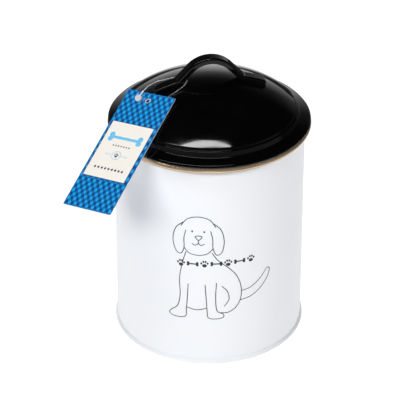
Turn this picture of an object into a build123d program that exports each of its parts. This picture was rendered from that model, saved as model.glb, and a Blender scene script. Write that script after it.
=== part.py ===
"""Pet food bin: a white lidded tin drum with a black domed lid, a strap handle and a hang tag.

Millimetres, +Z up. The origin is the centre of the bin's base, on the surface that it stands on.
+X runs along the handle and -Y is the front of the bin. The lid is on and the tag lies over it.
"""

import math
import os

from build123d import *

# Driving dimensions of the bin.
WALL_RADIUS = 92.0
SHEET = 0.5
SEAM_RADIUS = 94.0
SEAM_HEIGHT = 4.6
PANEL_HEIGHT = 4.0
CURL_TUBE_RADIUS = 3.25
CURL_OUTER_RADIUS = 98.0
CURL_TOP = 224.85
CURL_TUCK_ANGLE = 205.0
SIDE_WELD_WIDTH = 1.4
SIDE_WELD_HEIGHT = 0.2
SIDE_WELD_GAP = 1.0

# The base seam: the pan's edge is rolled over the hook at the foot of the wall.
HOOK_REACH = 0.7
HOOK_BOTTOM = 0.9
HOOK_TOP = 3.7
PAN_HOOK_BOTTOM = 1.9
SEAM_GAP = 0.1
SEAM_CHAMFER = 0.4
SEALANT_GAP = 0.05

# Driving dimensions of the lid.
LID_SHEET = 0.6
LID_RADIUS = 97.5
LID_REST = CURL_TOP + 0.2
DOME_TOP = 267.0
DOME_RADIUS = 132.3
DOME_EDGE_RADIUS = 76.0
SHOULDER = (82.8, 237.9)
STEP_TOP = (83.7, 236.0)
STEP_EDGE = (85.2, 235.2)
STEP_FOOT = (86.8, 230.5)
FLANGE_EDGE = (96.0, 227.3)
HEM_DEPTH = 3.4
LID_ROUNDING = (3.5, 0.9, 0.9, 1.6, 1.8)

# The collar that plugs the bin's mouth, and its silicone seal.
COLLAR_RADIUS = 88.0
COLLAR_BOTTOM = 209.0
COLLAR_FLANGE_RADIUS = 91.0
COLLAR_LIP = 1.6
SEAL_CLEARANCE = 0.3
SEAL_HEIGHT = 7.0
SEAL_THICKNESS = 1.3
SEAL_LIP_RADIUS = 91.2
SEAL_LIP_COUNT = 3
SEAL_LIP_SHARES = (0.3, 0.6, 0.75, 0.8)
SPOT_RADIUS = 1.1
SPOT_HEIGHT = 0.25
SPOT_COUNT = 12

# The handle: a channel pressed from one strip, its two feet standing on the dome.
STRAP_WIDTH = 12.0
STRAP_DEPTH = 5.6
STRAP_SHEET = 1.0
STRAP_EDGE_RADIUS = 1.8
STRAP_END_RADIUS = 3.0
HANDLE_TOP = 291.0
HANDLE_HALF_LENGTH = 54.5
ARCH_RADIUS = 28.5
ARCH_LEG_ANGLE = 47.0
ARCH_SHOULDER_RADIUS = 7.0
FOOT_DROP = 30.0
FOOT_LENGTH_MIN = 10.0
SHOULDER_BAND = 12.0
WELD_RADIUS = 1.1
WELD_LENGTH = 5.0
WELD_PLACES = (-49.0, -41.0, 41.0, 49.0)

# The hang tag: its card lies across the dome's left shoulder, bottom end out in the air.
CARD_WIDTH = 55.0
CARD_LENGTH = 135.0
CARD_THICKNESS = 0.6
CARD_CORNER = 1.2
CARD_CENTRE = (-95.3, -50.9, 226.7)
CARD_TURN = -41.1
CARD_SLOPE = 29.1
CARD_ROLL = -7.9
HOLE_RADIUS = 2.1
HOLE_FROM_TOP = 8.8

# The clear plastic loop that holds the card, its round lock and the plug on its free end.
# The lock's places are in the card's own frame: X across, Y up to its top edge, Z out of its face.
LOOP_DIAMETER = 1.0
LOCK_CENTRE = (-10.3, 58.6, 2.1)
LOCK_RADIUS = 3.6
LOCK_THICKNESS = 3.2
LOCK_ROUNDING = 1.28
NECK_END = (-9.4, 66.8, 2.2)
NECK_RADIUS = 0.9
SOCKET_RADIUS = 0.9
SOCKET_DEPTH = 4.4
PLUG_END = (-6.2, 59.0, 2.1)
PLUG_RADIUS = 0.8
PLUG_LENGTH = 4.0

# The loop's route: out of the lock's neck, over the handle's left foot, behind the arch's leg,
# under the arch, back beneath the card, up through its hole and into the side of the lock.
LOOP_ROUTE = [
    (-64.5, -0.9, 260.0),
    (-61.4, 1.2, 262.3),
    (-56.6, 4.2, 263.8),
    (-49.6, 8.0, 264.5),
    (-42.6, 9.8, 264.8),
    (-36.0, 10.5, 265.4),
    (-28.4, 9.6, 266.8),
    (-22.6, 4.2, 268.8),
    (-22.4, -4.0, 268.6),
    (-27.0, -10.2, 266.4),
    (-34.2, -13.0, 263.6),
    (-41.1, -15.6, 260.8),
    (-48.0, -17.2, 258.0),
    (-53.9, -16.6, 255.2),
    (-58.8, -13.7, 253.9),
    (-64.5, -10.6, 257.0),
    (-66.7, -8.1, 256.6),
]
ARC_SHARE = 0.45

CURL_CENTRE = (CURL_OUTER_RADIUS - CURL_TUBE_RADIUS, CURL_TOP - CURL_TUBE_RADIUS)
DOME_CENTRE = DOME_TOP - DOME_RADIUS
CARD_PLACE = Location(CARD_CENTRE) * Rotation(0, 0, CARD_TURN)
CARD_PLACE = CARD_PLACE * Rotation(CARD_SLOPE, 0, 0) * Rotation(0, CARD_ROLL, 0)


def ring(*corners):
    """A ring whose section, in radius and height, is the polygon with these corners."""
    return revolve(Plane.XZ * make_face(Polyline(*corners, close=True)), Axis.Z)


def curl_section():
    """The wall's top edge, rolled outwards and down until it tucks against the wall."""
    outer = Circle(CURL_TUBE_RADIUS)
    hollow = Circle(CURL_TUBE_RADIUS - SHEET)
    reach = 4 * CURL_TUBE_RADIUS
    start = math.radians(CURL_TUCK_ANGLE)
    mouth = Polyline(
        (0, 0), (-reach, 0), (-reach, -reach), (reach * math.cos(start), reach * math.sin(start)), close=True
    )
    return Pos(*CURL_CENTRE) * (outer - hollow - make_face(mouth))


def body_wall():
    """The rolled sheet of the bin's wall, with its top curl, its lower hook and its side weld."""
    inner = WALL_RADIUS - SHEET
    hook = WALL_RADIUS + HOOK_REACH
    section = Polyline(
        (inner, HOOK_BOTTOM),
        (hook + SHEET, HOOK_BOTTOM),
        (hook + SHEET, HOOK_TOP),
        (hook, HOOK_TOP),
        (hook, HOOK_BOTTOM + SHEET),
        (WALL_RADIUS, HOOK_BOTTOM + SHEET),
        (WALL_RADIUS, CURL_CENTRE[1]),
        (inner, CURL_CENTRE[1]),
        close=True,
    )
    wall = revolve(Plane.XZ * (make_face(section) + curl_section()), Axis.Z)
    weld_height = CURL_CENTRE[1] - CURL_TUBE_RADIUS - SEAM_HEIGHT - 2 * SIDE_WELD_GAP
    weld = Box(SIDE_WELD_WIDTH, 2 * SIDE_WELD_HEIGHT, weld_height)
    return wall + Pos(0, WALL_RADIUS, SEAM_HEIGHT + SIDE_WELD_GAP + weld_height / 2) * weld


def base_pan():
    """The pressed bottom: a raised panel whose edge is rolled over the wall's hook."""
    chuck = WALL_RADIUS - SHEET - SEAM_GAP
    hook = WALL_RADIUS + SEAM_GAP
    return ring(
        (0, PANEL_HEIGHT),
        (chuck - SHEET, PANEL_HEIGHT),
        (chuck - SHEET, 0),
        (SEAM_RADIUS - SEAM_CHAMFER, 0),
        (SEAM_RADIUS, SEAM_CHAMFER),
        (SEAM_RADIUS, SEAM_HEIGHT - SEAM_CHAMFER),
        (SEAM_RADIUS - SEAM_CHAMFER, SEAM_HEIGHT),
        (hook, SEAM_HEIGHT),
        (hook, PAN_HOOK_BOTTOM),
        (hook + SHEET, PAN_HOOK_BOTTOM),
        (hook + SHEET, SEAM_HEIGHT - SHEET),
        (SEAM_RADIUS - SHEET, SEAM_HEIGHT - SHEET),
        (SEAM_RADIUS - SHEET, SHEET),
        (chuck, SHEET),
        (chuck, PANEL_HEIGHT + SHEET),
        (0, PANEL_HEIGHT + SHEET),
    )


def base_sealant():
    """The sealing compound that fills the top of the base seam, over the wall's hook."""
    inner = WALL_RADIUS + SEAM_GAP + SHEET
    outer = SEAM_RADIUS - SHEET
    bottom = HOOK_TOP + SEALANT_GAP
    top = SEAM_HEIGHT - SHEET
    return ring((inner, bottom), (outer, bottom), (outer, top), (inner, top))


def dome_height(radius):
    """The height of the dome's outer face at a distance from the axis."""
    return DOME_CENTRE + math.sqrt(DOME_RADIUS**2 - radius**2)


def dome_solid():
    """The whole sphere that the dome's outer face is part of."""
    return Pos(0, 0, DOME_CENTRE) * Sphere(DOME_RADIUS)


def lid_section():
    """The filled section under the lid's outer face: dome, shoulder, stepped foot, flange, rim."""
    path = [
        (DOME_EDGE_RADIUS, dome_height(DOME_EDGE_RADIUS)),
        SHOULDER,
        STEP_TOP,
        STEP_EDGE,
        STEP_FOOT,
        FLANGE_EDGE,
        (LID_RADIUS, LID_REST),
    ]
    middle = DOME_EDGE_RADIUS / 2
    dome = ThreePointArc((0, DOME_TOP), (middle, dome_height(middle)), path[0])
    skirt = FilletPolyline(*path, radius=LID_ROUNDING)
    close = Polyline(path[-1], (0, LID_REST), (0, DOME_TOP))
    return make_face(dome + skirt + close)


def lid_shell():
    """The pressed lid, hollow below, with its rim hemmed under so that it lies on the curl."""
    half = lid_section()
    full = half + mirror(half, Plane.YZ)
    hollow = offset(full, -LID_SHEET, kind=Kind.ARC)
    mouth = Pos(0, LID_REST) * Rectangle(2 * (LID_RADIUS - HEM_DEPTH), 4 * LID_SHEET)
    right = Pos(LID_RADIUS, LID_REST) * Rectangle(2 * LID_RADIUS, 4 * LID_RADIUS)
    return revolve(Plane.XZ * ((full - hollow - mouth) & right), Axis.Z)


def seat_height(radius):
    """The height of the flange's underside at a distance from the axis."""
    slope = (STEP_FOOT[1] - FLANGE_EDGE[1]) / (FLANGE_EDGE[0] - STEP_FOOT[0])
    drop = LID_SHEET * math.hypot(1, slope)
    return STEP_FOOT[1] - slope * (radius - STEP_FOOT[0]) - drop


def lid_collar():
    """The hoop that plugs the mouth: a sloped top flange on the lid, a wall, and a bottom lip."""
    inner = COLLAR_RADIUS - SHEET
    lip = COLLAR_RADIUS + COLLAR_LIP
    return ring(
        (inner, seat_height(inner)),
        (COLLAR_FLANGE_RADIUS, seat_height(COLLAR_FLANGE_RADIUS)),
        (COLLAR_FLANGE_RADIUS, seat_height(COLLAR_FLANGE_RADIUS) - SHEET),
        (COLLAR_RADIUS, seat_height(COLLAR_RADIUS) - SHEET),
        (COLLAR_RADIUS, COLLAR_BOTTOM + SHEET),
        (lip, COLLAR_BOTTOM + SHEET),
        (lip, COLLAR_BOTTOM),
        (inner, COLLAR_BOTTOM),
    )


def collar_welds():
    """Spot welds under the collar's flange, which hold the collar to the lid."""
    radius = (COLLAR_RADIUS + COLLAR_FLANGE_RADIUS) / 2
    tilt = math.degrees(math.atan2(STEP_FOOT[1] - FLANGE_EDGE[1], FLANGE_EDGE[0] - STEP_FOOT[0]))
    height = seat_height(radius) - SHEET / math.cos(math.radians(tilt)) ** 2
    spot = Pos(radius, 0, height) * Rotation(0, tilt, 0) * Pos(0, 0, -SPOT_HEIGHT / 2)
    button = Cylinder(SPOT_RADIUS, SPOT_HEIGHT)
    return Compound(children=[Rotation(0, 0, 360 * k / SPOT_COUNT) * spot * button for k in range(SPOT_COUNT)])


def seal_ring():
    """The silicone ring round the collar, with sealing lips that almost reach the wall."""
    inner = COLLAR_RADIUS + SEAL_CLEARANCE
    outer = inner + SEAL_THICKNESS
    bottom = COLLAR_BOTTOM + SHEET + SEAL_CLEARANCE
    pitch = SEAL_HEIGHT / SEAL_LIP_COUNT
    corners = [(inner, bottom), (outer, bottom)]
    for lip in range(SEAL_LIP_COUNT):
        foot = bottom + lip * pitch
        corners += [
            (outer, foot + SEAL_LIP_SHARES[0] * pitch),
            (SEAL_LIP_RADIUS, foot + SEAL_LIP_SHARES[1] * pitch),
            (SEAL_LIP_RADIUS, foot + SEAL_LIP_SHARES[2] * pitch),
            (outer, foot + SEAL_LIP_SHARES[3] * pitch),
        ]
    corners += [(outer, bottom + SEAL_HEIGHT), (inner, bottom + SEAL_HEIGHT)]
    return ring(*corners)


def dome_disc(offset_out):
    """A disc whose edge lies a distance outside the dome's face, in the handle's plane."""
    return Pos(0, DOME_CENTRE) * Circle(DOME_RADIUS + offset_out)


def arch_blob(inset):
    """The filled arch below a face of the strap: a round top on two straight sloping legs."""
    radius = ARCH_RADIUS - inset
    centre = HANDLE_TOP - ARCH_RADIUS
    angle = math.radians(ARCH_LEG_ANGLE)
    tangent = (radius * math.sin(angle), centre + radius * math.cos(angle))
    foot = (tangent[0] + ARCH_RADIUS * math.cos(angle), tangent[1] - ARCH_RADIUS * math.sin(angle))
    legs = Polyline(tangent, foot, (-foot[0], foot[1]), (-tangent[0], tangent[1]), close=True)
    return make_face(legs) + Pos(0, centre) * Circle(radius)


def strap_section(inset):
    """The filled section under a face of the strap: its two feet and its arch, as one outline."""
    reach = HANDLE_HALF_LENGTH - inset
    feet = dome_disc(STRAP_DEPTH - inset) & (Pos(0, DOME_TOP) * Rectangle(2 * reach, 2 * FOOT_DROP))
    body = feet + arch_blob(inset)
    shoulders = [
        v
        for v in body.vertices()
        if abs(v.X) < reach - FOOT_LENGTH_MIN and abs(v.Y - DOME_TOP) < SHOULDER_BAND
    ]
    body = fillet(shoulders, ARCH_SHOULDER_RADIUS + inset)
    ends = [v for v in body.vertices() if abs(v.X) > reach - inset - 1 and v.Y > DOME_TOP - FOOT_DROP + 1]
    return fillet(ends, STRAP_END_RADIUS - inset)


def handle_strap():
    """The strap: one channel, open below, arched in the middle, its edges seated on the dome."""
    half = STRAP_WIDTH / 2
    block = extrude(Plane.XZ * strap_section(0), half, both=True)
    block = fillet(block.faces().filter_by(Axis.Y).edges(), STRAP_EDGE_RADIUS)
    inside = extrude(Plane.XZ * strap_section(STRAP_SHEET), half - STRAP_SHEET, both=True)
    finger_gap = extrude(Plane.XZ * arch_blob(STRAP_DEPTH), STRAP_WIDTH, both=True)
    return block - inside - finger_gap - dome_solid()


def handle_welds():
    """Weld beads inside the feet, in the corner between each edge of the channel and the dome."""
    beads = []
    for x in WELD_PLACES:
        for side in (-1, 1):
            lean = math.degrees(math.asin(x / DOME_RADIUS))
            y = side * (STRAP_WIDTH / 2 - STRAP_SHEET - WELD_RADIUS)
            bead = Cylinder(WELD_RADIUS, WELD_LENGTH, rotation=(0, 90 + lean, 0))
            beads.append(Pos(x, y, dome_height(abs(x))) * bead - dome_solid())
    return Compound(children=beads)


def tag_card():
    """The card of the hang tag, with the punched hole that the loop passes through."""
    outline = RectangleRounded(CARD_WIDTH, CARD_LENGTH, CARD_CORNER)
    hole = Pos(0, CARD_LENGTH / 2 - HOLE_FROM_TOP) * Circle(HOLE_RADIUS)
    return CARD_PLACE * extrude(outline - hole, CARD_THICKNESS / 2, both=True)


def along(start, end, radius, length):
    """A round bar that starts at one point of the card's frame and points at another."""
    direction = Vector(*end) - Vector(*start)
    return extrude(Plane(origin=start, z_dir=direction) * Circle(radius), length)


def tag_lock():
    """The loop's lock: a round button on the card with a neck for one end and a socket."""
    button = Cylinder(LOCK_RADIUS, LOCK_THICKNESS)
    button = Pos(*LOCK_CENTRE) * fillet(button.edges(), LOCK_ROUNDING)
    reach = (Vector(*NECK_END) - Vector(*LOCK_CENTRE)).length
    neck = along(LOCK_CENTRE, NECK_END, NECK_RADIUS, reach)
    socket = along(PLUG_END, LOCK_CENTRE, SOCKET_RADIUS, SOCKET_DEPTH)
    return CARD_PLACE * (button + neck - socket)


def tag_plug():
    """The barbed plug on the loop's free end, pushed home in the lock's socket."""
    return CARD_PLACE * along(PLUG_END, LOCK_CENTRE, PLUG_RADIUS, PLUG_LENGTH)


def arc_radii(points):
    """The largest tangent arc that the two runs at each corner of a route allow."""
    radii = []
    for before, corner, after in zip(points, points[1:], points[2:]):
        first = Vector(*corner) - Vector(*before)
        second = Vector(*after) - Vector(*corner)
        half_turn = math.radians(first.get_angle(second)) / 2
        radii.append(ARC_SHARE * min(first.length, second.length) / math.tan(half_turn))
    return radii


def tag_loop():
    """The plastic filament, from the lock's neck round the handle and back to the plug."""
    radii = arc_radii(LOOP_ROUTE)
    path = FilletPolyline(*LOOP_ROUTE, radius=radii)
    section = Plane(origin=path @ 0, z_dir=path % 0) * Circle(LOOP_DIAMETER / 2)
    tube = sweep(section, path=path)
    print("loop length", round(path.length, 1), "radii", [round(radius, 1) for radius in radii])
    print("loop volume", round(tube.volume, 2), "expected", round(section.area * path.length, 2))
    return tube


PARTS = {
    "body_wall": body_wall,
    "base_pan": base_pan,
    "base_sealant": base_sealant,
    "lid_shell": lid_shell,
    "lid_collar": lid_collar,
    "collar_welds": collar_welds,
    "seal_ring": seal_ring,
    "handle_strap": handle_strap,
    "handle_welds": handle_welds,
    "tag_card": tag_card,
    "tag_lock": tag_lock,
    "tag_plug": tag_plug,
    "tag_loop": tag_loop,
}

os.makedirs("parts", exist_ok=True)
for node, make in PARTS.items():
    export_step(make(), f"parts/{node}.step")
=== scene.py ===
"""The looks of a pet food bin: a white tin drum, its black domed lid and handle, and a hang tag.

Lengths are in millimetres in the part's frame, and a mesh turns them into metres as it is made.
"""

import math

import bmesh
import bpy
from mathutils import Matrix, Quaternion, Vector


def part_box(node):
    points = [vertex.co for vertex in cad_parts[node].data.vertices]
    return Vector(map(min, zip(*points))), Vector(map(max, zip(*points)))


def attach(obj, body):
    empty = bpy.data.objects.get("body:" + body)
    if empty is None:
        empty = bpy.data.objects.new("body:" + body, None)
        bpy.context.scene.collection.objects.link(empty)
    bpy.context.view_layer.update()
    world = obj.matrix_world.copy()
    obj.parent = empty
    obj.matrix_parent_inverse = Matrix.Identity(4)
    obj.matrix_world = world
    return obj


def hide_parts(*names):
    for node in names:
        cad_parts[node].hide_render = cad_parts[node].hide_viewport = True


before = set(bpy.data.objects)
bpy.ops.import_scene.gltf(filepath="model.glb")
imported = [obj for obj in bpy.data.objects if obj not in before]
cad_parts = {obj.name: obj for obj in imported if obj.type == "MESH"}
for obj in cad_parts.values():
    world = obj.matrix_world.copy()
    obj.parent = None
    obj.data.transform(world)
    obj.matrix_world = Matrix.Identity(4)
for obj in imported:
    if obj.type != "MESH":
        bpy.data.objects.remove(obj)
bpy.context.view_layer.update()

MM = 0.001


def node_size(node):
    """The largest radius, the lowest and the highest height of a CAD node, in millimetres."""
    low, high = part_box(node)
    return high.x / MM, low.z / MM, high.z / MM


CURL_OUTER_RADIUS, _, CURL_TOP = node_size("body_wall")
SEAM_RADIUS, _, SEAM_HEIGHT = node_size("base_pan")
LID_RADIUS, LID_REST, DOME_TOP = node_size("lid_shell")

# The bin: a white and a gold face of one thin sheet, and the gold one's round outward curl.
# WALL_RINGS are heights of the wall's mesh. WELD_START gives two more, over the seam, between
# which the weld rises. BASE_ROUNDING has one radius for each inner corner of the base's outside.
WALL_RADIUS = SEAM_RADIUS - 2.0
SHEET = 0.5
FACE = 0.24
WALL_FOOT = 1.0
CURL_TUBE_RADIUS = 3.25
CURL_CENTRE = (CURL_OUTER_RADIUS - CURL_TUBE_RADIUS, CURL_TOP - CURL_TUBE_RADIUS)
CURL_TUCK = 212.0
CURL_STEPS = 44
# Painted shade under the curl, where it tucks against the wall: brown levels over the curl's height
# from its foot to its top, then the brown itself.
CURL_PAINTED_SHADE = ((0.0, 0.0), (0.02, 0.85), (0.2, 0.6), (0.36, 0.0))
PAINTED_SHADE_BROWN = (0.2, 0.12, 0.06)
WALL_RINGS = (60.0, 110.0, 165.0, 217.0, 218.5)
PANEL_HEIGHT = 4.0
PAN_GAP = 0.1
HOOK_GAP = 0.01
BASE_ROUNDING = (0.9, 0.5, 0.8, 2.0, 0.05)
SEAM_SHOULDER = 1.9
SEAM_BEAD = (92.6, 2.6)
SEAM_BEAD_RADIUS = 0.3
WELD_ANGLE = 90.0
WELD_HALF_WIDTH = 0.7
WELD_HEIGHT = 0.2
WELD_GAP = 1.0
WELD_START = (0.5, 2.0)
LATHE_STEPS = 320
ROUNDING_STEPS = 6
SHARP_ANGLE = 35

# The lid: one sphere, a shoulder, a stepped foot and a flange with a hem.
DOME_RADIUS = 132.3
DOME_EDGE = 76.0
DOME_STEPS = 48
LID_CORNERS = [(82.8, 237.9), (83.7, 236.0), (85.2, 235.2), (86.8, 230.5), (96.0, 227.3)]
LID_ROUNDING = (3.5, 0.9, 0.9, 1.6, 1.8)
LID_SHEET = 0.6
HEM_DEPTH = 3.4
LINING_GAP = 0.02

# The hang tag's card. Its own frame has X across, Y up to its top edge and Z out of its face.
CARD_SIZE = (55.0, 135.0)
CARD_THICKNESS = 0.6
CARD_CORNER = 1.2
HOLE_RADIUS = 2.1
HOLE_FROM_TOP = 8.8
HOLE_RING_WIDTH = 0.35
CARD_PLACE = (
    Matrix.Translation((-95.3, -50.9, 226.7))
    @ Matrix.Rotation(math.radians(-41.1), 4, "Z")
    @ Matrix.Rotation(math.radians(29.1), 4, "X")
    @ Matrix.Rotation(math.radians(-7.9), 4, "Y")
)
PANEL_CENTRE = (-0.8, -1.0)
PANEL_SIZE = (47.2, 62.4)
PANEL_BORDER = 0.8
CHECK_RATE = (0.15, 0.109)

# The loop's route, in metres.
LOOP_DIAMETER = 0.001
LOOP_ROUTE = [
    (-0.0645, -0.0009, 0.2600),
    (-0.0614, 0.0012, 0.2623),
    (-0.0566, 0.0042, 0.2638),
    (-0.0496, 0.0080, 0.2645),
    (-0.0426, 0.0098, 0.2648),
    (-0.0360, 0.0105, 0.2654),
    (-0.0284, 0.0096, 0.2668),
    (-0.0226, 0.0042, 0.2688),
    (-0.0224, -0.0040, 0.2686),
    (-0.0270, -0.0102, 0.2664),
    (-0.0342, -0.0130, 0.2636),
    (-0.0411, -0.0156, 0.2608),
    (-0.0480, -0.0172, 0.2580),
    (-0.0539, -0.0166, 0.2552),
    (-0.0588, -0.0137, 0.2539),
    (-0.0645, -0.0106, 0.2570),
    (-0.0667, -0.0081, 0.2566),
]

# The wall's art: millimetres round the wall from its middle, and height above the floor.
ART_ANGLE = -94.2
PRINT_LIFT = 0.04
STRIP_WIDTH = 2.0
CURVE_STEPS = 8
DOG_LINE = 0.85
DOG_EYE = (0.9, 1.1)
DOG_EYES = [(-27.0, 152.0), (-15.5, 152.0)]
DOG_STROKES = [
    [(-38.0, 157.0), (-31.5, 165.5), (-21.0, 168.5), (-10.5, 165.5), (-4.5, 157.0)],
    [(-35.5, 161.5), (-43.0, 154.0), (-46.0, 141.0), (-43.0, 128.5), (-38.0, 126.0), (-35.0, 133.0),
     (-35.0, 144.0), (-33.0, 153.0)],
    [(-7.0, 161.5), (0.5, 154.0), (3.5, 141.0), (1.5, 129.0), (-3.5, 126.0), (-7.0, 133.0),
     (-7.5, 144.0), (-9.5, 153.0)],
    [(-34.8, 133.0), (-30.0, 127.5), (-21.0, 125.5), (-12.5, 127.5), (-7.2, 133.0)],
    [(-24.4, 146.2), (-21.0, 147.4), (-17.6, 146.2), (-21.0, 142.4), (-24.4, 146.2)],
    [(-21.0, 142.4), (-21.2, 139.2), (-24.0, 136.8), (-27.2, 138.6)],
    [(-21.2, 139.2), (-18.4, 136.8), (-15.2, 138.6)],
    [(-33.0, 128.5), (-37.0, 114.0), (-39.5, 97.0), (-39.0, 79.0), (-41.5, 65.5), (-48.0, 59.0),
     (-50.0, 55.0), (-45.5, 52.4), (-37.5, 52.4), (-33.2, 55.0), (-32.8, 63.0), (-31.8, 76.0),
     (-31.0, 92.0)],
    [(-3.6, 94.0), (-4.4, 77.0), (-3.0, 62.0), (3.0, 57.5), (2.8, 53.5), (-5.0, 52.2),
     (-11.5, 54.0), (-12.6, 62.0), (-13.6, 77.0), (-14.6, 92.0)],
    [(-32.6, 65.0), (-23.0, 62.6), (-12.8, 65.0)],
    [(-8.0, 128.5), (-2.0, 119.5), (8.0, 110.5), (16.0, 100.5), (20.6, 87.0), (20.4, 74.0),
     (15.5, 64.0), (7.5, 59.0), (0.8, 59.6)],
    [(1.5, 90.0), (7.0, 83.5), (8.6, 74.0), (4.0, 66.5)],
    [(20.8, 82.0), (31.0, 84.0), (41.0, 91.0), (48.5, 99.5), (52.0, 98.0), (49.5, 89.5),
     (41.5, 80.0), (31.0, 73.5), (20.0, 71.5)],
]
ROW_START = (-38.0, 115.0)
ROW_STEP = (11.4, 0.3)
ROW_COUNT = 7
ROW_PAW = 8.4
ROW_BONE = (11.6, 5.0)

# The card's art: heights from the middle of its panel, sizes and spacings.
BONE_RISE = 14.5
BONE_SIZE = (38.0, 10.5)
DOT_RISE = 5.6
DOT_STEP = 3.0
DOT_RADIUS = 0.85
RING_RISE = -4.8
RING_RADIUS = 4.6
RULE_ENDS = (5.4, 13.0)
CARD_LINE = 0.45
CARD_PAW = 5.0
DIAMOND_RISE = -20.5
DIAMOND_STEP = 3.9
DIAMOND_SIZE = (1.35, 1.6)

# The camera, in metres in the part's frame. Its lens and sensor are in millimetres.
CAMERA_PLACE = (-0.36747, -1.89047, 1.32587)
CAMERA_AIM = (-0.00112, 0.00022, 0.12142)
CAMERA_ROLL = 0.0029
CAMERA_LENS = 199.53
SENSOR_WIDTH = 36.0

# The studio, laid out in the camera's own directions: x right, y away, z up, in metres.
CAMERA_TURN = math.radians(-11)
WHITE = (1, 1, 1, 1)
TABLE_REACH = 6.0
FLOOR_HEIGHT = -0.0002
FLOOR_GREY = 0.25
FLOOR_GLOW = 0.92
GLOW_HEIGHT = -0.0001
SURROUND_RADIUS = 5.8
# Grey levels: a share from 0 to 1, and the level there.
BACKDROP_BY_HEIGHT = (
    (0.0, 1.0), (0.17, 0.8), (0.34, 0.42), (0.53, 0.2), (0.68, 0.05), (0.8, 0.008)
)
BACKDROP_BY_SIDE = ((0.0, 0.15), (0.2, 0.02), (0.7, 0.02), (0.88, 0.15), (0.95, 0.5), (0.99, 1.0))
TABLE_BY_SIDE = ((0.0, 1.0), (0.12, 0.9), (0.2, 0.3), (0.3, 0.04), (0.6, 0.02))
TABLE_BY_DISTANCE = ((0.0, 1.0), (0.4, 1.0), (0.6, 0.3), (0.8, 0.05), (1.0, 0.0))
# The lights: a name, a place, a width and depth, a power in watts, and whether gloss shows it.
LIGHTS = (
    ("strip_overhead", (-0.3, -0.45, 1.75), (1.7, 0.13), 6.5, True),
    ("fill_overhead", (-0.5, 0.1, 2.2), (1.4, 1.2), 11, False),
    ("fill_left", (-1.5, -1.9, 1.9), (1.8, 0.8), 42, False),
    ("fill_right", (1.8, -1.5, 1.9), (1.4, 0.8), 26, False),
)
LIGHT_TARGET = (0, 0, 0.15)

# The Mix node's colour sockets. Their names are shared with its other types.
MIX_FIRST = 6
MIX_SECOND = 7
MIX_RESULT = 2


def studio(x, y, z):
    """A place or direction given the camera's way, in the part's frame."""
    return Matrix.Rotation(CAMERA_TURN, 3, "Z") @ Vector((x, y, z))


# Camera -------------------------------------------------------------------------------------


def make_camera():
    """The photograph's view: a long lens that slopes 32 degrees down, from left of the front."""
    data = bpy.data.cameras.new("camera")
    data.sensor_width = SENSOR_WIDTH
    data.lens = CAMERA_LENS
    camera = bpy.data.objects.new("camera", data)
    bpy.context.scene.collection.objects.link(camera)
    camera.location = CAMERA_PLACE
    aim = Vector(CAMERA_AIM) - camera.location
    roll = Quaternion((0, 0, 1), CAMERA_ROLL)
    camera.rotation_mode = "QUATERNION"
    camera.rotation_quaternion = aim.to_track_quat("-Z", "Y") @ roll
    bpy.context.scene.camera = camera


# Node trees ---------------------------------------------------------------------------------


def new_material(name, colour, roughness, **sockets):
    """A material with uniform values set on the shader's own sockets."""
    material = bpy.data.materials.new(name)
    material.use_nodes = True
    shader = material.node_tree.nodes["Principled BSDF"]
    shader.inputs["Base Color"].default_value = (*colour, 1)
    shader.inputs["Roughness"].default_value = roughness
    for socket, value in sockets.items():
        shader.inputs[socket.replace("_", " ")].default_value = value
    return material


def feed(tree, value, socket):
    """Links an input to another node's socket, or sets it to a plain number or colour."""
    if isinstance(value, bpy.types.NodeSocket):
        tree.links.new(value, socket)
    else:
        socket.default_value = (*value, 1) if isinstance(value, tuple) else value


def mix_colours(tree, factor, first, second, blend="MIX"):
    """Two colours mixed. The factor and each colour are sockets or plain values."""
    mix = tree.nodes.new("ShaderNodeMix")
    mix.data_type = "RGBA"
    mix.blend_type = blend
    feed(tree, factor, mix.inputs["Factor"])
    feed(tree, first, mix.inputs[MIX_FIRST])
    feed(tree, second, mix.inputs[MIX_SECOND])
    return mix.outputs[MIX_RESULT]


def ramp_of(tree, value, stops):
    """Grey levels over a value from 0 to 1."""
    ramp = tree.nodes.new("ShaderNodeValToRGB")
    elements = ramp.color_ramp.elements
    while len(elements) < len(stops):
        elements.new(0.5)
    for element, (place, level) in zip(elements, stops):
        element.position = place
        element.color = (level, level, level, 1)
    tree.links.new(value, ramp.inputs["Fac"])
    return ramp.outputs["Color"]


def noise(material, scale, detail=3.0):
    """A noise pattern over the object's own coordinates, in cycles per metre."""
    tree = material.node_tree
    place = tree.nodes.new("ShaderNodeTexCoord")
    pattern = tree.nodes.new("ShaderNodeTexNoise")
    pattern.inputs["Scale"].default_value = scale
    pattern.inputs["Detail"].default_value = detail
    tree.links.new(place.outputs["Object"], pattern.inputs["Vector"])
    return pattern.outputs["Fac"]


def vary_roughness(material, pattern, low, high):
    """Roughness that wanders between two values with a pattern."""
    tree = material.node_tree
    spread = tree.nodes.new("ShaderNodeMapRange")
    spread.inputs["From Min"].default_value = 0.3
    spread.inputs["From Max"].default_value = 0.7
    spread.inputs["To Min"].default_value = low
    spread.inputs["To Max"].default_value = high
    tree.links.new(pattern, spread.inputs["Value"])
    shader = tree.nodes["Principled BSDF"]
    tree.links.new(spread.outputs["Result"], shader.inputs["Roughness"])


def vary_colour(material, pattern, first, second):
    """A base colour that wanders between two near colours with a pattern."""
    tree = material.node_tree
    ramp = tree.nodes.new("ShaderNodeValToRGB")
    ramp.color_ramp.elements[0].position = 0.35
    ramp.color_ramp.elements[0].color = (*first, 1)
    ramp.color_ramp.elements[1].position = 0.65
    ramp.color_ramp.elements[1].color = (*second, 1)
    tree.links.new(pattern, ramp.inputs["Fac"])
    shader = tree.nodes["Principled BSDF"]
    tree.links.new(ramp.outputs["Color"], shader.inputs["Base Color"])


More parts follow.
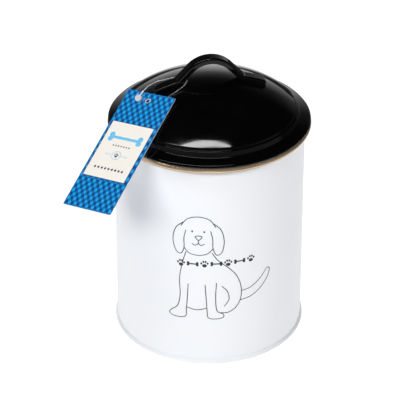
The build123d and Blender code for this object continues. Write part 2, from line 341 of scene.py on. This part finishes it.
def add_bump(material, pattern, strength, height):
    """Relief from a pattern, with its height in millimetres."""
    tree = material.node_tree
    bump = tree.nodes.new("ShaderNodeBump")
    bump.inputs["Strength"].default_value = strength
    bump.inputs["Distance"].default_value = height * MM
    tree.links.new(pattern, bump.inputs["Height"])
    tree.links.new(bump.outputs["Normal"], tree.nodes["Principled BSDF"].inputs["Normal"])


class Mask:
    """Numbers worked out by Math nodes over a piece's UV map, in millimetres on its face."""

    def __init__(self, material, size):
        self.tree = material.node_tree
        place = self.tree.nodes.new("ShaderNodeUVMap")
        parts = self.tree.nodes.new("ShaderNodeSeparateXYZ")
        self.tree.links.new(place.outputs["UV"], parts.inputs["Vector"])
        self.x = self.math("MULTIPLY", self.math("SUBTRACT", parts.outputs["X"], 0.5), size[0])
        self.y = self.math("MULTIPLY", self.math("SUBTRACT", parts.outputs["Y"], 0.5), size[1])

    def math(self, operation, first, second=0.0):
        """One Math node, whose inputs are sockets or plain numbers."""
        node = self.tree.nodes.new("ShaderNodeMath")
        node.operation = operation
        feed(self.tree, first, node.inputs[0])
        feed(self.tree, second, node.inputs[1])
        return node.outputs["Value"]

    def box(self, centre, size):
        """1 inside a rectangle on the face, 0 outside."""
        across = self.math("ABSOLUTE", self.math("SUBTRACT", self.x, centre[0]))
        along = self.math("ABSOLUTE", self.math("SUBTRACT", self.y, centre[1]))
        inside = self.math("LESS_THAN", across, size[0] / 2)
        return self.math("MULTIPLY", inside, self.math("LESS_THAN", along, size[1] / 2))

    def disc(self, centre, radius):
        """1 inside a circle on the face, 0 outside."""
        across = self.math("POWER", self.math("SUBTRACT", self.x, centre[0]), 2.0)
        along = self.math("POWER", self.math("SUBTRACT", self.y, centre[1]), 2.0)
        return self.math("LESS_THAN", self.math("ADD", across, along), radius**2)

    def stripes(self, rate):
        """Even stripes: 1 on a stripe, 0 between. The rate is stripes per millimetre in x and y."""
        across = self.math("MULTIPLY", self.x, rate[0])
        along = self.math("MULTIPLY", self.y, rate[1])
        phase = self.math("FRACT", self.math("ADD", across, along))
        return self.math("LESS_THAN", phase, 0.5)

    def paint(self, mask, under, over):
        """One colour over another where the mask is 1. A colour is a socket or three numbers."""
        return mix_colours(self.tree, mask, under, over)


# Materials ----------------------------------------------------------------------------------


def white_enamel():
    """The smooth white outside of the bin."""
    material = new_material(
        "white_enamel", (0.855, 0.872, 0.905), 0.3, Coat_Weight=0.25, Coat_Roughness=0.1
    )
    vary_colour(material, noise(material, 12, 0.0), (0.853, 0.87, 0.903), (0.858, 0.875, 0.908))
    vary_roughness(material, noise(material, 25, 0.0), 0.29, 0.32)
    return material


def black_enamel():
    """The glossy black outside of the lid, and its handle."""
    material = new_material(
        "black_enamel", (0.001, 0.001, 0.0012), 0.07, Coat_Weight=0.2, Coat_Roughness=0.03
    )
    vary_colour(material, noise(material, 30), (0.0008, 0.0008, 0.001), (0.0016, 0.0016, 0.002))
    vary_roughness(material, noise(material, 70), 0.05, 0.1)
    return material


def gold_lacquer():
    """The lacquered inside of the bin and the lid, which the curl turns outwards."""
    material = new_material("gold_lacquer", (0.68, 0.52, 0.36), 0.15, Metallic=0.75)
    vary_colour(material, noise(material, 40, 1.0), (0.66, 0.5, 0.34), (0.72, 0.56, 0.4))
    # Painted shade browns the underside of the curl.
    paint_shade_under_curl(material)
    vary_roughness(material, noise(material, 60, 1.0), 0.13, 0.18)
    return material


def paint_shade_under_curl(material):
    """Painted shade: browns the lacquer along the underside of the curl, where it tucks against the
    wall and shade falls.
    """
    tree = material.node_tree
    shader = tree.nodes["Principled BSDF"]
    clean = shader.inputs["Base Color"].links[0].from_socket
    place = tree.nodes.new("ShaderNodeTexCoord")
    parts = tree.nodes.new("ShaderNodeSeparateXYZ")
    share = tree.nodes.new("ShaderNodeMapRange")
    share.inputs["From Min"].default_value = (CURL_TOP - 2 * CURL_TUBE_RADIUS) * MM
    share.inputs["From Max"].default_value = CURL_TOP * MM
    tree.links.new(place.outputs["Object"], parts.inputs["Vector"])
    tree.links.new(parts.outputs["Z"], share.inputs["Value"])
    painted_shade_level = ramp_of(tree, share.outputs["Result"], CURL_PAINTED_SHADE)
    tree.links.new(mix_colours(tree, painted_shade_level, clean, PAINTED_SHADE_BROWN), shader.inputs["Base Color"])


def silicone():
    """The seal ring's soft, pale, slightly translucent rubber."""
    material = new_material(
        "silicone", (0.82, 0.83, 0.82), 0.42, Subsurface_Weight=0.3, Subsurface_Scale=0.003
    )
    vary_colour(material, noise(material, 90), (0.8, 0.81, 0.8), (0.85, 0.86, 0.85))
    add_bump(material, noise(material, 1600), 0.1, 0.02)
    return material


def seam_compound():
    """The grey sealing compound in the base seam."""
    material = new_material("seam_compound", (0.26, 0.26, 0.23), 0.6)
    vary_colour(material, noise(material, 300), (0.22, 0.22, 0.2), (0.3, 0.3, 0.27))
    add_bump(material, noise(material, 1200), 0.3, 0.05)
    return material


def weld_metal():
    """Dark, uneven weld beads and spots."""
    material = new_material("weld_metal", (0.02, 0.02, 0.02), 0.35, Metallic=0.6)
    vary_roughness(material, noise(material, 900), 0.25, 0.5)
    add_bump(material, noise(material, 1500), 0.5, 0.08)
    return material


def clear_plastic(name, cloudiness):
    """Moulded plastic. A thin filament is almost clear, and the thick lock is milky."""
    material = new_material(
        name, (0.88, 0.89, 0.95), 0.2, Transmission_Weight=1 - cloudiness, IOR=1.46
    )
    vary_roughness(material, noise(material, 1500), 0.1, 0.2)
    add_bump(material, noise(material, 900), 0.05, 0.02)
    return material


def card_core():
    """The card's rough cut edge."""
    material = new_material("card_core", (0.82, 0.81, 0.78), 0.8)
    vary_colour(material, noise(material, 2500), (0.76, 0.75, 0.72), (0.86, 0.85, 0.82))
    add_bump(material, noise(material, 3000), 0.3, 0.03)
    return material


BRIGHT_BLUE = (0.006, 0.39, 0.85)
MIDDLE_BLUE = (0.002, 0.15, 0.44)
NAVY = (0.003, 0.048, 0.185)
CREAM = (0.88, 0.85, 0.785)


def card_print():
    """A diagonal check with a cream panel and its navy border, under a thin gloss varnish."""
    material = new_material("card_print", BRIGHT_BLUE, 0.35, Coat_Weight=0.15, Coat_Roughness=0.2)
    mask = Mask(material, CARD_SIZE)
    rising = mask.stripes(CHECK_RATE)
    falling = mask.stripes((CHECK_RATE[0], -CHECK_RATE[1]))
    woven = mask.paint(rising, BRIGHT_BLUE, MIDDLE_BLUE)
    crossing = mask.paint(rising, MIDDLE_BLUE, NAVY)
    check = mask.paint(falling, woven, crossing)
    border = mask.box(PANEL_CENTRE, [side + 2 * PANEL_BORDER for side in PANEL_SIZE])
    framed = mask.paint(border, check, NAVY)
    panelled = mask.paint(mask.box(PANEL_CENTRE, PANEL_SIZE), framed, CREAM)
    hole = (0.0, CARD_SIZE[1] / 2 - HOLE_FROM_TOP)
    colour = mask.paint(mask.disc(hole, HOLE_RADIUS + HOLE_RING_WIDTH), panelled, CREAM)
    shader = material.node_tree.nodes["Principled BSDF"]
    material.node_tree.links.new(colour, shader.inputs["Base Color"])
    vary_roughness(material, noise(material, 500), 0.3, 0.42)
    add_bump(material, noise(material, 2500), 0.06, 0.01)
    return material


def ink(name, colour):
    """A printed ink, a little uneven."""
    material = new_material(name, colour, 0.38)
    lighter = tuple(value * 1.3 + 0.004 for value in colour)
    vary_colour(material, noise(material, 700), colour, lighter)
    return material


# Meshes -------------------------------------------------------------------------------------


def arc(centre, radius, start, end, count):
    """Points on an arc, from one angle in degrees to another."""
    turns = [math.radians(start + (end - start) * k / count) for k in range(count + 1)]
    return [(centre[0] + radius * math.cos(t), centre[1] + radius * math.sin(t)) for t in turns]


def rounded(corners, radii):
    """A profile through these corners, with the inner ones rounded to these radii."""
    points = [Vector(corners[0])]
    for before, corner, after, radius in zip(corners, corners[1:], corners[2:], radii):
        corner = Vector(corner)
        back = (Vector(before) - corner).normalized()
        onward = (Vector(after) - corner).normalized()
        half = back.angle(onward) / 2
        centre = corner + (back + onward).normalized() * radius / math.sin(half)
        first = corner + back * radius / math.tan(half) - centre
        last = corner + onward * radius / math.tan(half) - centre
        sweep = first.angle(last)
        for k in range(ROUNDING_STEPS + 1):
            share = k / ROUNDING_STEPS
            mixed = first * math.sin((1 - share) * sweep) + last * math.sin(share * sweep)
            points.append(centre + mixed / math.sin(sweep))
    points.append(Vector(corners[-1]))
    return [tuple(point) for point in points]


def inset(path, distance):
    """A profile moved to its right-hand side by a distance."""
    moved = []
    for k, point in enumerate(path):
        before = Vector(path[max(k - 1, 0)])
        after = Vector(path[min(k + 1, len(path) - 1)])
        along = (after - before).normalized()
        moved.append((max(point[0] + along.y * distance, 0.0), point[1] - along.x * distance))
    return moved


def mesh_object(name, bm, materials):
    """Turns a bmesh in metres into an object in the scene."""
    mesh = bpy.data.meshes.new(name)
    bm.to_mesh(mesh)
    bm.free()
    for material in materials:
        mesh.materials.append(material)
    made = bpy.data.objects.new(name, mesh)
    bpy.context.scene.collection.objects.link(made)
    return made


def finish_piece(name, bm, materials, body, slot):
    """Turns a bmesh in metres into a smooth-shaded piece that rides on a body."""
    bmesh.ops.recalc_face_normals(bm, faces=bm.faces)
    piece = mesh_object(name, bm, materials)
    piece.data.shade_smooth()
    piece.data.set_sharp_from_angle(angle=math.radians(SHARP_ANGLE))
    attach(piece, body)
    return piece if slot else piece


def even_angles():
    """The lathe's angles, in degrees."""
    return [360 * k / LATHE_STEPS for k in range(LATHE_STEPS)]


def lathe(name, profile, material, body, slot, angles=None, relief=None):
    """A closed profile of radii and heights, turned about the Z axis."""
    bm = bmesh.new()
    columns = []
    for angle in angles or even_angles():
        turn = math.radians(angle)
        column = []
        for radius, height in profile:
            if relief:
                radius = radius + relief(angle, radius, height)
            place = Vector((radius * math.cos(turn), radius * math.sin(turn), height))
            column.append(bm.verts.new(place * MM))
        columns.append(column)
    for left, right in zip(columns, columns[1:] + columns[:1]):
        for k in range(len(profile)):
            following = (k + 1) % len(profile)
            if profile[k][0] == 0 and profile[following][0] == 0:
                continue
            bm.faces.new((left[k], right[k], right[following], left[following]))
    bmesh.ops.remove_doubles(bm, verts=bm.verts, dist=1e-8)
    return finish_piece(name, bm, [material], body, slot)


# The bin ------------------------------------------------------------------------------------


def weld_relief(angle, radius, height):
    """The side weld: a low rounded ridge up the back of the wall's outer face."""
    across = abs(angle - WELD_ANGLE) * math.radians(1) * WALL_RADIUS
    top = CURL_CENTRE[1] - CURL_TUBE_RADIUS
    between = SEAM_HEIGHT + WELD_GAP < height < top - WELD_GAP
    if radius < WALL_RADIUS or across >= WELD_HALF_WIDTH or not between:
        return 0.0
    return WELD_HEIGHT * math.sqrt(1 - (across / WELD_HALF_WIDTH) ** 2)


def make_wall(material):
    """The wall's white outer face, with its side weld."""
    inner = WALL_RADIUS - FACE
    start = [SEAM_HEIGHT + rise for rise in WELD_START]
    heights = [WALL_FOOT, *start, *WALL_RINGS, CURL_CENTRE[1]]
    outer = [(WALL_RADIUS, height) for height in heights]
    profile = [(inner, WALL_FOOT), *outer, (inner, CURL_CENTRE[1])]
    step = math.degrees(WELD_HALF_WIDTH / 4 / WALL_RADIUS)
    ridge = [WELD_ANGLE + k * step for k in range(-4, 5)]
    angles = sorted(set(even_angles()) - {WELD_ANGLE} | set(ridge))
    wall = lathe("wall_outside", profile, material, "bin", "white_enamel", angles, weld_relief)
    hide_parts("body_wall")


def make_lining(material):
    """The wall's gold inner face, rolled out over the top edge as the curl."""
    inner = WALL_RADIUS - SHEET
    outside = arc(CURL_CENTRE, CURL_TUBE_RADIUS, 180, CURL_TUCK - 360, CURL_STEPS)
    inside = arc(CURL_CENTRE, CURL_TUBE_RADIUS - FACE, CURL_TUCK - 360, 180, CURL_STEPS)
    profile = [(inner + FACE, WALL_FOOT), (inner, WALL_FOOT), *outside, *inside]
    lathe("wall_lining_and_curl", profile, material, "bin", "gold_lacquer")


def make_base(white, gold, compound):
    """The pressed bottom: its white outside and rolled seam, the gold floor and the sealant."""
    chuck = WALL_RADIUS - SHEET - PAN_GAP
    pan = chuck - SHEET
    hook = WALL_RADIUS + HOOK_GAP
    corners = [
        (0, PANEL_HEIGHT),
        (pan, PANEL_HEIGHT),
        (pan, 0),
        (SEAM_RADIUS, 0),
        (SEAM_RADIUS, SEAM_SHOULDER),
        (hook, SEAM_HEIGHT),
        (hook, SEAM_SHOULDER),
    ]
    below = rounded(corners, BASE_ROUNDING)
    above = [
        (SEAM_RADIUS - SHEET, SEAM_SHOULDER - SHEET),
        (SEAM_RADIUS - SHEET, SHEET),
        (chuck, SHEET),
        (chuck, PANEL_HEIGHT + FACE),
        (0, PANEL_HEIGHT + FACE),
    ]
    base = lathe("base_outside", below + above, white, "bin", "white_enamel")
    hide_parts("base_pan")
    floor = [
        (0, PANEL_HEIGHT + FACE),
        (chuck, PANEL_HEIGHT + FACE),
        (chuck, PANEL_HEIGHT + SHEET),
        (0, PANEL_HEIGHT + SHEET),
    ]
    lathe("base_floor", floor, gold, "bin", "gold_lacquer")
    bead = arc(SEAM_BEAD, SEAM_BEAD_RADIUS, 0, 330, 11)
    sealant = lathe("seam_bead", bead, compound, "bin", "seam_compound")
    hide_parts("base_sealant")


# The lid ------------------------------------------------------------------------------------


def lid_profile():
    """The lid's outer face from the top of the dome to the foot of its flange's edge."""
    centre = (0, DOME_TOP - DOME_RADIUS)
    edge = math.degrees(math.acos(DOME_EDGE / DOME_RADIUS))
    dome = arc(centre, DOME_RADIUS, 90, edge, DOME_STEPS)
    skirt = rounded([dome[-1], *LID_CORNERS, (LID_RADIUS, LID_REST + LID_SHEET)], LID_ROUNDING)
    return [(0, DOME_TOP), *dome[1:], *skirt[1:]]


def make_lid(black, gold):
    """The lid's black outside with its hem, and its gold inside."""
    face = LID_SHEET / 2
    hem = LID_RADIUS - HEM_DEPTH
    outside = lid_profile()
    rim = arc((LID_RADIUS - LID_SHEET, LID_REST + LID_SHEET), LID_SHEET, 0, -90, 6)
    under = [(hem, LID_REST), (hem, LID_REST + face), (LID_RADIUS - 2 * LID_SHEET, LID_REST + face)]
    back = inset(outside[:-1], face)[::-1]
    lid = lathe("lid_outside", outside[:-1] + rim + under + back, black, "lid", "black_enamel")
    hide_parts("lid_shell")
    upper = inset(outside[:-1], face + LINING_GAP)
    lower = inset(outside[:-1], LID_SHEET)[::-1]
    fold = [
        (LID_RADIUS - 2 * LID_SHEET, LID_REST + face + LINING_GAP),
        (hem, LID_REST + face + LINING_GAP),
        (hem, LID_REST + LID_SHEET),
        (LID_RADIUS - 3 * LID_SHEET, LID_REST + LID_SHEET),
    ]
    lathe("lid_lining", upper + fold + lower, gold, "lid", "gold_lacquer")


# The hang tag -------------------------------------------------------------------------------


def card_outline():
    """The card's edge, and the edge of its punched hole."""
    half = [side / 2 - CARD_CORNER for side in CARD_SIZE]
    corners = [(half[0], half[1]), (-half[0], half[1]), (-half[0], -half[1]), (half[0], -half[1])]
    edge = []
    for k, corner in enumerate(corners):
        edge += arc(corner, CARD_CORNER, 90 * k, 90 * k + 90, 5)
    hole = arc((0, CARD_SIZE[1] / 2 - HOLE_FROM_TOP), HOLE_RADIUS, 0, 345, 23)
    return edge, hole


def make_card(printed, core):
    """The card: two printed faces and a cut edge."""
    bm = bmesh.new()
    uv = bm.loops.layers.uv.new("card")
    places = {}
    sheets = []
    for height in (CARD_THICKNESS / 2, -CARD_THICKNESS / 2):
        loops = []
        for outline in card_outline():
            verts = []
            for x, y in outline:
                vert = bm.verts.new(CARD_PLACE @ Vector((x, y, height)) * MM)
                places[vert] = (x / CARD_SIZE[0] + 0.5, y / CARD_SIZE[1] + 0.5)
                verts.append(vert)
            loops.append(verts)
        pairs = [pair for verts in loops for pair in zip(verts, verts[1:] + verts[:1])]
        edges = [bm.edges.new(pair) for pair in pairs]
        bmesh.ops.triangle_fill(bm, edges=edges, use_beauty=True)
        sheets.append(loops)
    for upper, lower in zip(*sheets):
        for k in range(len(upper)):
            following = (k + 1) % len(upper)
            side = bm.faces.new((upper[k], upper[following], lower[following], lower[k]))
            side.material_index = 1
    for face in bm.faces:
        for loop in face.loops:
            loop[uv].uv = places[loop.vert]
    card = finish_piece("tag_card_printed", bm, [printed, core], "tag", "tag_card")
    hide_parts("tag_card")


def make_loop(material):
    """The plastic filament from the lock's neck round the handle and back to its plug."""
    data = bpy.data.curves.new("tag_filament", "CURVE")
    data.dimensions = "3D"
    data.bevel_depth = LOOP_DIAMETER / 2
    data.bevel_resolution = 5
    data.resolution_u = 8
    data.use_fill_caps = True
    spline = data.splines.new("NURBS")
    spline.points.add(len(LOOP_ROUTE) - 1)
    for point, place in zip(spline.points, LOOP_ROUTE):
        point.co = (*place, 1)
    spline.order_u = 3
    spline.use_endpoint_u = True
    data.materials.append(material)
    loop = bpy.data.objects.new("tag_filament", data)
    bpy.context.scene.collection.objects.link(loop)
    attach(loop, "lid")
    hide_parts("tag_loop")


# Printed art --------------------------------------------------------------------------------


def smooth(points):
    """A smooth line through these points."""
    ends = [Vector(point) for point in (points[0], *points, points[-1])]
    line = []
    for a, b, c, d in zip(ends, ends[1:], ends[2:], ends[3:]):
        for k in range(CURVE_STEPS):
            t = k / CURVE_STEPS
            bend = (2 * a - 5 * b + 4 * c - d) * t**2 + (3 * b - a - 3 * c + d) * t**3
            line.append(b + ((c - a) * t + bend) / 2)
    return line + [ends[-1]]


def ribbon(line, width):
    """A line's faces, at an even width."""
    sides = []
    for k, point in enumerate(line):
        along = (line[min(k + 1, len(line) - 1)] - line[max(k - 1, 0)]).normalized()
        across = Vector((-along.y, along.x)) * width / 2
        sides.append((point + across, point - across))
    return [(a[0], a[1], b[1], b[0]) for a, b in zip(sides, sides[1:])]


def oval(x, y, half_width, half_height, count=20):
    """The outline of a filled oval."""
    turns = [math.tau * k / count for k in range(count)]
    return [(x + half_width * math.cos(t), y + half_height * math.sin(t)) for t in turns]


def paw(x, y, size):
    """A paw print: a pad and four toes. Its size is its width."""
    toes = ((-0.36, 0.1), (-0.13, 0.32), (0.13, 0.32), (0.36, 0.1))
    ovals = [oval(x + a * size, y + b * size, 0.11 * size, 0.15 * size) for a, b in toes]
    return ovals + [oval(x, y - 0.2 * size, 0.27 * size, 0.22 * size)]


def bone(x, y, length, width):
    """A bone's outline, with two round lobes at each end."""
    lobe = width * 0.27
    end = length / 2 - lobe
    rise = width / 2 - lobe
    right = arc((end, rise), lobe, 200, -55, 10) + arc((end, -rise), lobe, 55, -200, 10)
    left = [(-a, -b) for a, b in right]
    return [(x + a, y + b) for a, b in right + left]


def on_wall(point):
    """A place on the front of the wall: millimetres round from the art's middle, and height."""
    turn = math.radians(ART_ANGLE) + point[0] / WALL_RADIUS
    radius = WALL_RADIUS + PRINT_LIFT
    return Vector((radius * math.cos(turn), radius * math.sin(turn), point[1]))


def on_card(point):
    """A place on the card's face."""
    return CARD_PLACE @ Vector((point[0], point[1], CARD_THICKNESS / 2 + PRINT_LIFT))


def printed(name, faces, place, material, body):
    """Flat shapes laid just over a surface, in strips narrow enough to follow its curve."""
    bm = bmesh.new()
    for face in faces:
        bm.faces.new([bm.verts.new((*point[:2], 0)) for point in face])
    bmesh.ops.remove_doubles(bm, verts=bm.verts, dist=1e-4)
    across = [vert.co.x / STRIP_WIDTH for vert in bm.verts]
    for cut in range(math.ceil(min(across)), math.ceil(max(across))):
        everything = bm.verts[:] + bm.edges[:] + bm.faces[:]
        bmesh.ops.bisect_plane(
            bm, geom=everything, plane_co=(cut * STRIP_WIDTH, 0, 0), plane_no=(1, 0, 0)
        )
    for vert in bm.verts:
        vert.co = place(vert.co) * MM
    return finish_piece(name, bm, [material], body, None)


def make_wall_art():
    """A sitting dog in one thin line, with a row of paw prints and bones over its chest."""
    black = ink("wall_ink", (0.015, 0.015, 0.017))
    faces = [face for stroke in DOG_STROKES for face in ribbon(smooth(stroke), DOG_LINE)]
    faces += [oval(x, y, *DOG_EYE) for x, y in DOG_EYES]
    printed("dog_outline", faces, on_wall, black, "bin")
    for k in range(ROW_COUNT):
        x = ROW_START[0] + k * ROW_STEP[0]
        y = ROW_START[1] + k * ROW_STEP[1]
        shapes = paw(x, y, ROW_PAW) if k % 2 == 0 else [bone(x, y, *ROW_BONE)]
        printed(f"row_mark_{k + 1}", shapes, on_wall, black, "bin")


def make_card_art():
    """The card's panel: a bone, a row of dots, a ringed paw between two rules, and diamonds."""
    pale = ink("pale_blue_ink", (0.13, 0.46, 0.74))
    grey = ink("grey_ink", (0.1, 0.1, 0.12))
    navy = ink("navy_ink", (0.012, 0.018, 0.06))
    x, y = PANEL_CENTRE
    printed("card_bone", [bone(x, y + BONE_RISE, *BONE_SIZE)], on_card, pale, "tag")
    dots = [
        oval(x + DOT_STEP * k, y + DOT_RISE, DOT_RADIUS, DOT_RADIUS, 12) for k in range(-3, 4)
    ]
    printed("card_dots", dots, on_card, grey, "tag")
    middle = y + RING_RISE
    ring = [Vector(point) for point in arc((x, middle), RING_RADIUS, 0, 360, 36)]
    rules = [[Vector((x + side * end, middle)) for end in RULE_ENDS] for side in (-1, 1)]
    lines = [face for line in (ring, *rules) for face in ribbon(line, CARD_LINE)]
    printed("card_ring_and_rules", lines, on_card, pale, "tag")
    printed("card_paw", paw(x, middle, CARD_PAW), on_card, navy, "tag")
    diamonds = [
        oval(x + DIAMOND_STEP * k, y + DIAMOND_RISE, *DIAMOND_SIZE, 4) for k in range(-4, 5)
    ]
    printed("card_diamonds", diamonds, on_card, navy, "tag")


# CAD nodes that stay ------------------------------------------------------------------------


def dress(nodes, material):
    """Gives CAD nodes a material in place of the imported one."""
    for node in nodes:
        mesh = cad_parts[node].data
        mesh.materials.clear()
        mesh.materials.append(material)


# Studio -------------------------------------------------------------------------------------


def level_sheet(name, material, height):
    """A wide level sheet at a height in metres."""
    bm = bmesh.new()
    bmesh.ops.create_grid(bm, x_segments=8, y_segments=8, size=TABLE_REACH)
    sheet = mesh_object(name, bm, [material])
    sheet.location.z = height
    return sheet


def make_floor():
    """A plain white floor that glows, as a lit table does, so that no hard shadow falls on it."""
    grey = (FLOOR_GREY, FLOOR_GREY, FLOOR_GREY)
    material = new_material(
        "floor", grey, 0.9, Emission_Color=WHITE, Emission_Strength=FLOOR_GLOW
    )
    floor = level_sheet("floor", material, FLOOR_HEIGHT)
    floor.visible_glossy = False


def make_surround():
    """A white sphere far round the object, so that the background is plain in every direction.

    Only the camera sees it. It neither lights the object nor shows in its gloss.
    """
    material = new_material(
        "surround",
        (0, 0, 0),
        1.0,
        Specular_IOR_Level=0.0,
        Emission_Color=WHITE,
        Emission_Strength=1.0,
    )
    bm = bmesh.new()
    bmesh.ops.create_icosphere(bm, subdivisions=4, radius=SURROUND_RADIUS)
    surround = mesh_object("surround", bm, [material])
    surround.visible_diffuse = False
    surround.visible_glossy = False
    surround.visible_transmission = False
    surround.visible_shadow = False


def make_table_glow():
    """The lit table as gloss sees it: white near the bin and in its middle line, dark beyond."""
    material = new_material("table_glow", (0, 0, 0), 1.0, Emission_Strength=1.0)
    tree = material.node_tree
    place = tree.nodes.new("ShaderNodeTexCoord")
    parts = tree.nodes.new("ShaderNodeSeparateXYZ")
    across = tree.nodes.new("ShaderNodeMath")
    across.operation = "ABSOLUTE"
    distance = tree.nodes.new("ShaderNodeVectorMath")
    distance.operation = "LENGTH"
    tree.links.new(place.outputs["Object"], parts.inputs["Vector"])
    tree.links.new(place.outputs["Object"], distance.inputs[0])
    tree.links.new(parts.outputs["X"], across.inputs[0])
    side = ramp_of(tree, across.outputs["Value"], TABLE_BY_SIDE)
    near = ramp_of(tree, distance.outputs["Value"], TABLE_BY_DISTANCE)
    lighter = mix_colours(tree, 1.0, side, near, "LIGHTEN")
    tree.links.new(lighter, tree.nodes["Principled BSDF"].inputs["Emission Color"])
    glow = level_sheet("table_glow", material, GLOW_HEIGHT)
    glow.rotation_euler.z = CAMERA_TURN
    glow.visible_camera = False
    glow.visible_diffuse = False
    glow.visible_shadow = False
    glow.visible_transmission = False


def make_world():
    """A backdrop behind the object, white at the horizon and fading upwards. The rest is dim."""
    world = bpy.data.worlds.new("studio")
    bpy.context.scene.world = world
    world.use_nodes = True
    tree = world.node_tree
    direction = tree.nodes.new("ShaderNodeTexCoord")
    parts = tree.nodes.new("ShaderNodeSeparateXYZ")
    tree.links.new(direction.outputs["Generated"], parts.inputs["Vector"])
    height = ramp_of(tree, parts.outputs["Z"], BACKDROP_BY_HEIGHT)
    behind = tree.nodes.new("ShaderNodeVectorMath")
    behind.operation = "DOT_PRODUCT"
    behind.inputs[1].default_value = studio(0, 1, 0)
    tree.links.new(direction.outputs["Generated"], behind.inputs[0])
    side = ramp_of(tree, behind.outputs["Value"], BACKDROP_BY_SIDE)
    both = mix_colours(tree, 1.0, height, side, "MULTIPLY")
    tree.links.new(both, tree.nodes["Background"].inputs["Color"])


def area_light(name, place, target, size, power, seen_in_gloss):
    """A softbox that faces a point, its width along the camera's right. Oval if gloss shows it."""
    data = bpy.data.lights.new(name, "AREA")
    data.shape = "ELLIPSE" if seen_in_gloss else "RECTANGLE"
    data.size, data.size_y = size
    data.energy = power
    light = bpy.data.objects.new(name, data)
    bpy.context.scene.collection.objects.link(light)
    back = (place - target).normalized()
    up = back.cross(studio(1, 0, 0)).normalized()
    turn = Matrix((up.cross(back), up, back)).transposed()
    light.matrix_world = Matrix.Translation(place) @ turn.to_4x4()
    light.visible_glossy = seen_in_gloss
    light.visible_camera = False


def make_lights():
    """A strip over the lid, seen in its gloss, and soft fills that only light matt colour."""
    for name, place, size, power, seen_in_gloss in LIGHTS:
        area_light(name, studio(*place), studio(*LIGHT_TARGET), size, power, seen_in_gloss)
    bpy.context.scene.view_settings.view_transform = "Standard"


# Assembly -----------------------------------------------------------------------------------


def make_object():
    """Every piece of the bin, its lid and its tag, and the CAD nodes that stay."""
    white, black, gold = white_enamel(), black_enamel(), gold_lacquer()
    make_card(card_print(), card_core())
    make_loop(clear_plastic("clear_filament", 0.1))
    make_wall(white)
    make_lining(gold)
    make_base(white, gold, seam_compound())
    make_lid(black, gold)
    make_wall_art()
    make_card_art()
    dress(["handle_strap"], black)
    dress(["lid_collar"], gold)
    dress(["seal_ring"], silicone())
    dress(["collar_welds", "handle_welds"], weld_metal())
    dress(["tag_lock", "tag_plug"], clear_plastic("milky_lock", 0.6))


make_camera()
make_object()
make_floor()
make_table_glow()
make_surround()
make_world()
make_lights()
